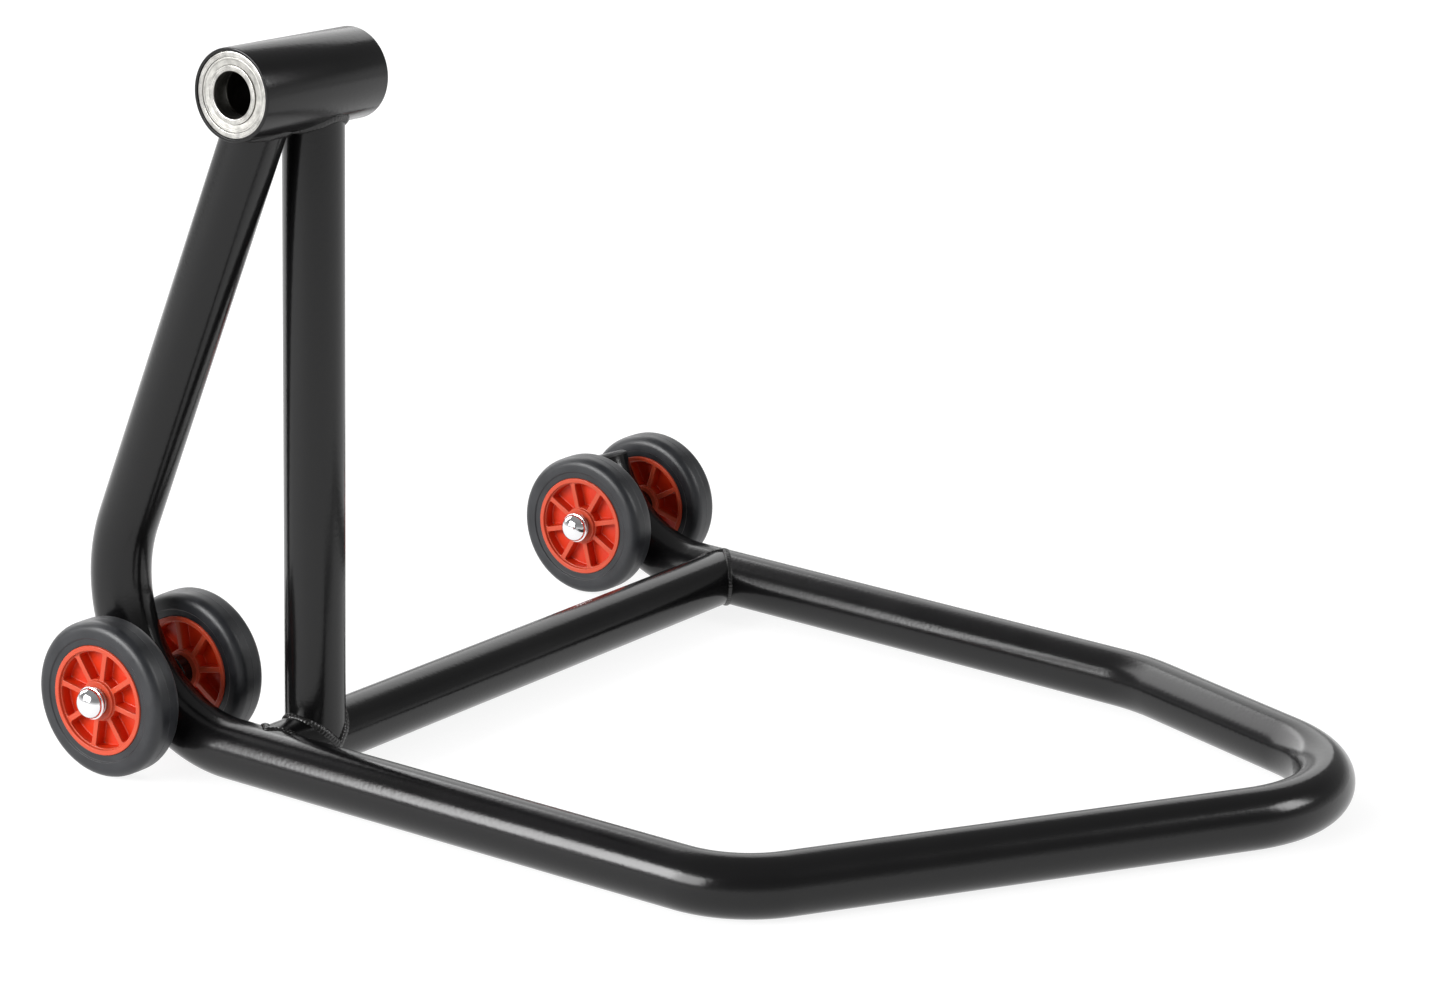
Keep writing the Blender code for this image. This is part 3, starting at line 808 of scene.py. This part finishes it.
def head_tube():
    """The tube across the top, with a seat for a bearing in each end."""
    half = HEAD_LENGTH / 2
    shoulder = half - BEARING_INSET - BEARING_WIDTH
    outline = filleted(
        [
            (HEAD_RADIUS, half, 0.7 * MM),
            (HEAD_RADIUS, -half, 0.7 * MM),
            (HEAD_SEAT, -half, 0.25 * MM),
            (HEAD_SEAT, -shoulder, 0),
            (HEAD_SHOULDER, -shoulder, 0),
            (HEAD_SHOULDER, shoulder, 0),
            (HEAD_SEAT, shoulder, 0),
            (HEAD_SEAT, half, 0.25 * MM),
        ]
    )
    mesh = turned("head_tube", outline, steps=128)
    place(add("head_tube", mesh, COAT, "frame", "black_powder_coat", "head_housing"), HEAD, Y_AXIS)


def race_spacer():
    """The tube that keeps the two inner races apart."""
    low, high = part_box("race_spacer")
    reach = (high[1] - low[1]) / 2
    outline = filleted(
        [
            (SPACER_RADIUS, reach, 0.3 * MM),
            (SPACER_RADIUS, -reach, 0.3 * MM),
            (SPACER_BORE, -reach, 0.4 * MM),
            (SPACER_BORE, reach, 0.4 * MM),
        ]
    )
    mesh = turned("spacer_tube", outline)
    place(add("spacer_tube", mesh, DARK_SPACER_STEEL, "pin_rotor", "zinc_plate", "race_spacer"), HEAD, Y_AXIS)


def bearing_meshes():
    """The rings and shield that both bearings share, each with its ball groove or its rolled edge."""
    width = BEARING_WIDTH / 2
    outer = filleted(
        [
            (BEARING_RADIUS, width, 0.7 * MM),
            (BEARING_RADIUS, -width, 0.7 * MM),
            (OUTER_LAND, -width, 0.25 * MM),
            (OUTER_LAND, -GROOVE_REACH, 0),
            (OUTER_LAND + GROOVE_DEPTH, 0, GROOVE_RADIUS),
            (OUTER_LAND, GROOVE_REACH, 0),
            (OUTER_LAND, width, 0.25 * MM),
        ]
    )
    inner = filleted(
        [
            (INNER_LAND, width, 0.25 * MM),
            (INNER_LAND, GROOVE_REACH, 0),
            (INNER_LAND - GROOVE_DEPTH, 0, GROOVE_RADIUS),
            (INNER_LAND, -GROOVE_REACH, 0),
            (INNER_LAND, -width, 0.25 * MM),
            (BEARING_BORE, -width, 0.8 * MM),
            (BEARING_BORE, width, 0.8 * MM),
        ]
    )
    shield = filleted(
        [
            (OUTER_LAND - 0.2 * MM, 0.45 * MM, 0.2 * MM),
            (OUTER_LAND - 0.2 * MM, -0.35 * MM, 0.2 * MM),
            (INNER_LAND + 0.2 * MM, -0.35 * MM, 0.15 * MM),
            (INNER_LAND + 0.2 * MM, 0.05 * MM, 0.15 * MM),
            (20.9 * MM, 0.05 * MM, 0.3 * MM),
            (21.3 * MM, 0.45 * MM, 0.2 * MM),
        ]
    )
    return {
        "outer_race": turned("bearing_outer", outer, steps=128),
        "inner_race": turned("bearing_inner", inner, steps=128),
        "shield": turned("bearing_shield", shield, steps=128),
    }


def bearings():
    """Both bearings' rings and shields, in their seats."""
    meshes = bearing_meshes()
    half = BEARING_WIDTH / 2
    reach = HEAD_LENGTH / 2 - BEARING_INSET - half
    for label, side in (("front_bearing", -1), ("back_bearing", 1)):
        centre = HEAD + Y_AXIS * side * reach
        for part, body in (("outer_race", "frame"), ("inner_race", "pin_rotor")):
            name = f"{label}_{part.replace('race', 'ring')}"
            piece = add(name, meshes[part], RACE_STEEL, body, "bearing_steel", f"{label}_{part}")
            place(piece, centre, Y_AXIS)
        for face, way in (("front", -1), ("back", 1)):
            shield = f"{label}_{face}_shield"
            name = f"{label}_{face}_plate"
            piece = add(name, meshes["shield"], SHIELD_STEEL, "frame", "zinc_plate", shield)
            place(piece, centre + Y_AXIS * way * (half - SHIELD_INSET), Y_AXIS * way)


# --- Wheels ------------------------------------------------------------------------------


def pocket_loop(inset, height):
    """One level of the pocket between two spokes, its wall moved inwards by the inset."""
    inner = BOSS_RADIUS + 0.9 * MM + inset
    outer = RIM_INNER - 0.8 * MM - inset
    wall = SPOKE_WALL + inset
    half = math.pi / SPOKES
    corners = []
    for radius, way, steps, rounding in ((outer, 1, 6, 1.5 * MM), (inner, -1, 2, 0.9 * MM)):
        reach = half - math.asin(wall / radius)
        for i in range(steps + 1):
            angle = way * (2 * reach * i / steps - reach)
            fillet = rounding if i in (0, steps) else 0
            corners.append((radius * math.cos(angle), radius * math.sin(angle), fillet))
    return [(x, y, height) for x, y in filleted(corners, count=5)]


def pocket_levels():
    """(inset, height) down a pocket: a rounded rim, a drafted wall, and a fillet at the web."""
    top = WHEEL_WIDTH / 2 - SPOKE_RECESS
    rim = 0.4 * MM
    foot = 0.9 * MM
    draft = 0.15 * MM
    steps = 4
    angles = [math.pi / 2 * i / steps for i in range(steps + 1)]
    levels = [(-rim, top + 1 * MM)]
    for angle in angles:
        levels.append((-rim * (1 - math.sin(angle)), top - rim * (1 - math.cos(angle))))
    for angle in angles:
        levels.append((draft + foot * (1 - math.cos(angle)), WEB_HALF + foot * (1 - math.sin(angle))))
    return levels


def pocket_cutter():
    """Every pocket of both faces, as one mesh of closed shells."""
    points = []
    faces = []
    for face in (1, -1):
        for spoke in range(SPOKES):
            turn = Matrix.Rotation(2 * math.pi * (spoke + 0.5) / SPOKES, 3, "Z")
            base = len(points)
            loops = [pocket_loop(inset, height) for inset, height in pocket_levels()]
            count = len(loops[0])
            for loop in loops:
                points += [turn @ Vector((x, y, face * z)) for x, y, z in loop]
            sides = [
                (base + i * count + j, base + (i + 1) * count + j,
                 base + (i + 1) * count + (j + 1) % count, base + i * count + (j + 1) % count)
                for i in range(len(loops) - 1)
                for j in range(count)
            ]
            last = base + (len(loops) - 1) * count
            shell = [*sides, tuple(range(base, base + count)), tuple(range(last, last + count))[::-1]]
            faces += shell if face == 1 else [corners[::-1] for corners in shell]
    return smooth_mesh("pocket_cutter", points, faces)


def hub_mesh():
    """The spoked hub, turned first and then pocketed from both faces."""
    half = WHEEL_WIDTH / 2
    edge = half - 0.8 * MM
    deep = half - SPOKE_RECESS
    draft = 0.2 * MM
    outline = filleted(
        [
            (HUB_RIM, half, 0.6 * MM),
            (HUB_RIM, edge, 0),
            (HUB_RIDGE, 0, 0),
            (HUB_RIM, -edge, 0),
            (HUB_RIM, -half, 0.6 * MM),
            (RIM_INNER, -half, 0.6 * MM),
            (RIM_INNER - draft, -deep, 0.5 * MM),
            (BOSS_RADIUS + draft, -deep, 0.6 * MM),
            (BOSS_RADIUS, -half, 0.6 * MM),
            (HUB_BORE, -half, 0.3 * MM),
            (HUB_BORE, half, 0.3 * MM),
            (BOSS_RADIUS, half, 0.6 * MM),
            (BOSS_RADIUS + draft, deep, 0.6 * MM),
            (RIM_INNER - draft, deep, 0.5 * MM),
            (RIM_INNER, half, 0.6 * MM),
        ]
    )
    body = bpy.data.objects.new("hub_body", turned("hub_body", outline))
    cutter = bpy.data.objects.new("hub_cutter", pocket_cutter())
    for helper in (body, cutter):
        bpy.context.scene.collection.objects.link(helper)
    cut = body.modifiers.new("Pockets", "BOOLEAN")
    cut.operation = "DIFFERENCE"
    cut.solver = "EXACT"
    cut.object = cutter
    bpy.context.view_layer.update()
    mesh = bpy.data.meshes.new_from_object(body.evaluated_get(bpy.context.evaluated_depsgraph_get()))
    for helper in (body, cutter):
        bpy.data.objects.remove(helper)
    mesh.name = "spoked_hub"
    mesh.shade_smooth()
    mesh.set_sharp_from_angle(angle=math.radians(32))
    return mesh


def tyre_mesh():
    """The solid tyre, with a step beside the rim and the mould's parting line round its tread."""
    half = WHEEL_WIDTH / 2
    tread = WHEEL_RADIUS - 0.1 * MM
    outline = filleted(
        [
            (35.1 * MM, half - 0.9 * MM, 0.2 * MM),
            (39 * MM, half - 0.8 * MM, 0.5 * MM),
            (39.8 * MM, half, 0.5 * MM),
            (tread, half, TYRE_SHOULDER),
            (tread, 0.35 * MM, 0.1 * MM),
            (WHEEL_RADIUS, 0, 0.05 * MM),
            (tread, -0.35 * MM, 0.1 * MM),
            (tread, -half, TYRE_SHOULDER),
            (39.8 * MM, -half, 0.5 * MM),
            (39 * MM, 0.8 * MM - half, 0.5 * MM),
            (35.1 * MM, 0.9 * MM - half, 0.2 * MM),
            (37.4 * MM, 0, 0),
        ],
        count=8,
    )
    return turned("solid_tyre", outline, steps=144)


def cap_mesh():
    """A domed push-on cap: a short neck from its seat, a rolled flange, and a dome."""
    steps = 18
    dome = [
        (CAP_RADIUS * math.cos(angle), CAP_BASE + CAP_RISE * math.sin(angle))
        for angle in (math.pi / 2 * i / steps for i in range(steps, -1, -1))
    ]
    dome[0] = (0, CAP_BASE + CAP_RISE)
    flange = filleted(
        [
            (CAP_RADIUS, 3.5 * MM, 0.15 * MM),
            (CAP_FLANGE, 3.5 * MM, 0.35 * MM),
            (CAP_FLANGE, 2.6 * MM, 0.35 * MM),
            (CAP_NECK, 2.6 * MM, 0.3 * MM),
            (CAP_NECK, 0.05 * MM, 0.2 * MM),
            (0, 0.05 * MM, 0),
        ]
    )
    return turned("domed_cap", dome + flange, steps=72)


def washer_mesh():
    """A plain washer with its edges broken."""
    outline = filleted(
        [
            (WASHER_RADIUS, WASHER_HALF, 0.25 * MM),
            (WASHER_RADIUS, -WASHER_HALF, 0.25 * MM),
            (WASHER_BORE, -WASHER_HALF, 0.1 * MM),
            (WASHER_BORE, WASHER_HALF, 0.1 * MM),
        ]
    )
    return turned("plain_washer", outline, steps=72)


def wheels():
    """The four wheels, each with its two washers and its cap, from meshes that all of them share."""
    tyre = tyre_mesh()
    hub = hub_mesh()
    cap = cap_mesh()
    washer = washer_mesh()
    for name, outward, rolled in WHEELS:
        centre = middle_of(f"{name}_tyre")
        piece = add(f"{name}_rubber", tyre, RUBBER, name, "tyre_rubber", f"{name}_tyre")
        place(piece, centre, Y_AXIS)
        piece = add(f"{name}_centre", hub, RED, name, "red_plastic", f"{name}_hub")
        piece[0].location = centre
        piece[0].rotation_euler = (math.radians(-90), math.radians(-rolled), 0)
        shading = piece[0].modifiers.new("Even normals", "WEIGHTED_NORMAL")
        shading.keep_sharp = True
        settle(piece)
        for label in ("cap_washer", "tube_washer"):
            piece = add(f"{name}_{label}_ring", washer, ZINC, "frame", "zinc_plate", f"{name}_{label}")
            place(piece, middle_of(f"{name}_{label}"), Y_AXIS)
        low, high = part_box(f"{name}_cap")
        seat = Vector((centre.x, low[1] if outward > 0 else high[1], centre.z))
        piece = add(f"{name}_dome", cap, CHROME, "frame", "chrome_cap", f"{name}_cap")
        place(piece, seat, Y_AXIS * outward)


def carried_over():
    """Finer materials for the CAD nodes whose shapes stay."""
    kept = {
        "near_axle": ZINC,
        "far_axle": ZINC,
        "front_bearing_ball_set": RACE_STEEL,
        "back_bearing_ball_set": RACE_STEEL,
    }
    for name, _, _ in WHEELS:
        kept[f"{name}_bush"] = NYLON
    for node, material in kept.items():
        for slot in frame["nodes"][node].material_slots:
            slot.material = material


# --- Studio ------------------------------------------------------------------------------


def floor():
    """A pale round floor that glows a little, most of all behind the stand."""
    made, tree, shader = surface("pale_floor", (0.22, 0.22, 0.22), 0.8)
    shader.inputs["Specular IOR Level"].default_value = 0.1
    shader.inputs["Emission Color"].default_value = (1, 1, 1, 1)
    position = object_position(tree)
    clouds = noise(tree, position, scale=3, detail=3)
    apart = tree.nodes.new("ShaderNodeVectorMath")
    apart.operation = "DISTANCE"
    apart.inputs[1].default_value = POOL_CENTRE
    tree.links.new(position, apart.inputs[0])
    fading = (POOL_RADIUS, POOL_RADIUS + POOL_FADE)
    glow = ranged(tree, apart.outputs["Value"], fading, POOL_GLOW)
    tree.links.new(glow, shader.inputs["Emission Strength"])
    connect(tree, shader, blended(tree, clouds, (0.21, 0.21, 0.21), (0.23, 0.23, 0.23)))
    mesh = bpy.data.meshes.new("studio_floor")
    sheet = bmesh.new()
    bmesh.ops.create_circle(sheet, cap_ends=True, segments=96, radius=FLOOR_RADIUS)
    sheet.to_mesh(mesh)
    sheet.free()
    mesh.materials.append(made)
    obj = bpy.data.objects.new("studio_floor", mesh)
    obj.location.z = -FLOOR_DROP
    bpy.context.scene.collection.objects.link(obj)


def softbox(name, azimuth, elevation, width, height, radiance):
    """A lamp facing the stand from a direction, its width and height given as angles, all in degrees."""
    turn = math.radians(azimuth)
    lift = math.radians(elevation)
    outward = Vector((math.cos(turn) * math.cos(lift), math.sin(turn) * math.cos(lift), math.sin(lift)))
    lamp = bpy.data.lights.new(name, "AREA")
    lamp.shape = "RECTANGLE"
    lamp.size = 2 * LAMP_DISTANCE * math.tan(math.radians(width / 2))
    lamp.size_y = 2 * LAMP_DISTANCE * math.tan(math.radians(height / 2))
    lamp.energy = radiance * math.pi * lamp.size * lamp.size_y
    obj = bpy.data.objects.new(name, lamp)
    obj.location = outward * LAMP_DISTANCE + Z_AXIS * LAMP_AIM
    obj.rotation_euler = outward.to_track_quat("Z", "Y").to_euler()
    obj.visible_camera = False
    bpy.context.scene.collection.objects.link(obj)


def world():
    """Pale round the horizon and dim above it."""
    made = bpy.data.worlds.new("studio")
    made.use_nodes = True
    tree = made.node_tree
    coordinates = tree.nodes.new("ShaderNodeTexCoord")
    parts = tree.nodes.new("ShaderNodeSeparateXYZ")
    tree.links.new(coordinates.outputs["Generated"], parts.inputs["Vector"])
    ramp = tree.nodes.new("ShaderNodeValToRGB")
    tree.links.new(ranged(tree, parts.outputs["Z"], (-1, 1)), ramp.inputs["Fac"])
    bands = ramp.color_ramp.elements
    while len(bands) < len(SKY):
        bands.new(0.5)
    for band, (height, level) in zip(bands, SKY):
        band.position = height
        band.color = (level, level, level, 1)
    background = tree.nodes["Background"]
    tree.links.new(ramp.outputs["Color"], background.inputs["Color"])
    bpy.context.scene.world = made


def camera():
    """The photograph's view, from the near side and a little above."""
    level = Vector((-math.sin(CAMERA_AZIMUTH), math.cos(CAMERA_AZIMUTH), 0))
    forward = level * math.cos(CAMERA_ELEVATION) - Z_AXIS * math.sin(CAMERA_ELEVATION)
    right = forward.cross(Z_AXIS).normalized()
    up = right.cross(forward)
    rolled_right = right * math.cos(CAMERA_ROLL) + up * math.sin(CAMERA_ROLL)
    rolled_up = up * math.cos(CAMERA_ROLL) - right * math.sin(CAMERA_ROLL)
    lens = bpy.data.cameras.new("camera")
    lens.lens = CAMERA_LENS
    lens.sensor_width = CAMERA_SENSOR
    lens.clip_end = 100
    obj = bpy.data.objects.new("camera", lens)
    turn = Matrix((rolled_right, rolled_up, -forward)).transposed().to_4x4()
    obj.matrix_world = Matrix.Translation(CAMERA_PLACE) @ turn
    bpy.context.scene.collection.objects.link(obj)
    bpy.context.scene.camera = obj


def studio():
    floor()
    world()
    for lamp in LAMPS:
        softbox(*lamp)
    bpy.context.scene.view_settings.view_transform = "Standard"
    camera()


frame_tubes()
frame_welds()
axle_sleeves()
stub_plug()
head_tube()
race_spacer()
bearings()
wheels()
carried_over()
studio()
